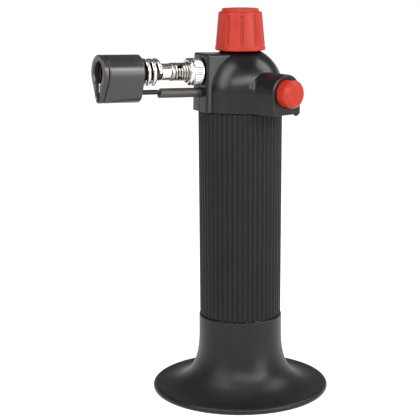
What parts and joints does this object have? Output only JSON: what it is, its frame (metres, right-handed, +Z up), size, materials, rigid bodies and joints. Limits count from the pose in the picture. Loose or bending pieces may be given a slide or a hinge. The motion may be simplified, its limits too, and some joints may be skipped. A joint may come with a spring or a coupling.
{
  "type": "propane torch",
  "caption": "Pocket gas torch with a flared stand, ribbed grip, gas knob on top, ignition button at the side and a shrouded burner at the front.",
  "frame": {"origin": "centre of the object's box on the surface it stands on; the torch's own axis is 14.0 mm behind it along +Y", "axes": "+Z up along the grip, -Y forward along the burner, +X towards the ignition button's side"},
  "size_m": [0.0806, 0.1086, 0.1747],
  "materials": {
    "satin_black": "satin moulded plastic, semi-gloss on the lips",
    "grip_grey": "satin ribbed plastic with a fine grain",
    "gloss_black": "glossy moulded plastic with broad soft highlights",
    "red": "semi-gloss moulded plastic",
    "nickel": "bright nickel plating",
    "steel": "plain drawn steel",
    "brass": "turned brass",
    "copper": "bare copper",
    "rubber": "matt black rubber",
    "nylon": "natural nylon",
    "ceramic": "glazed white ceramic",
    "cotton": "twisted cotton"
  },
  "bodies": {
    "torch": {"base_stand": "satin_black", "shroud_body": "satin_black", "shroud_ring": "satin_black", "lead_sleeve": "satin_black", "lead_tube": "satin_black", "grip_sleeve": "grip_grey", "head_shell_left": "gloss_black", "head_shell_right": "gloss_black", "mixer_tube": "nickel", "burner_socket": "nickel", "heat_coil": "nickel", "fuel_tank": "steel", "refill_spring": "steel", "head_screw_rear": "steel", "head_screw_front": "steel", "flame_tube": "steel", "flame_disc": "steel", "electrode": "steel", "piezo_spring": "steel", "refill_valve_body": "brass", "refill_retainer": "brass", "valve_body": "brass", "gland_nut": "brass", "gas_jet": "brass", "gas_pipe": "copper", "earth_strip": "copper", "neck_seal": "rubber", "refill_seal": "rubber", "ignition_lead": "rubber", "piezo_body": "nylon", "electrode_insulator": "ceramic", "fuel_wick": "cotton"},
    "spindle_ring": {"spindle_oring": "rubber"},
    "gas_knob": {"gas_knob": "red", "knob_cap": "red", "knob_screw": "steel", "valve_spindle": "brass"},
    "collar_ring": {"collar_oring": "rubber"},
    "air_collar": {"air_collar": "nickel"},
    "ignition_button": {"ignition_button": "red", "piezo_plunger": "nylon"},
    "refill_stem": {"refill_stem": "brass"}
  },
  "joints": [
    {"name": "spindle_lift", "type": "slide", "parent": "torch", "child": "spindle_ring", "axis": [0, 0, 1], "range_m": [0, 0.0012]},
    {"name": "gas_knob_turn", "type": "hinge", "parent": "spindle_ring", "child": "gas_knob", "pos_m": [0, 0.014, 0.16], "axis": [0, 0, 1], "range_deg": [0, 540.1]},
    {"name": "collar_travel", "type": "slide", "parent": "torch", "child": "collar_ring", "axis": [0, -0.9994, 0.0349], "range_m": [0, 0.005]},
    {"name": "air_collar_turn", "type": "hinge", "parent": "collar_ring", "child": "air_collar", "pos_m": [0, 0.014, 0.1468], "axis": [0, -0.9994, 0.0349], "range_deg": [0, 1440.1]},
    {"name": "button_press", "type": "slide", "parent": "torch", "child": "ignition_button", "axis": [-0.9703, -0.2419, 0], "range_m": [0, 0.0045], "stiffness_N_per_m": 800, "springref_m": -0.002, "deforming": ["piezo_spring"]},
    {"name": "refill_press", "type": "slide", "parent": "torch", "child": "refill_stem", "axis": [0, 0, 1], "range_m": [0, 0.0015], "stiffness_N_per_m": 400, "springref_m": -0.001, "deforming": ["refill_spring"]}
  ],
  "couplings": [
    {"joint": "gas_knob_turn", "follows": "spindle_lift", "rad_per_m": 7854},
    {"joint": "air_collar_turn", "follows": "collar_travel", "rad_per_m": 5026.5}
  ]
}
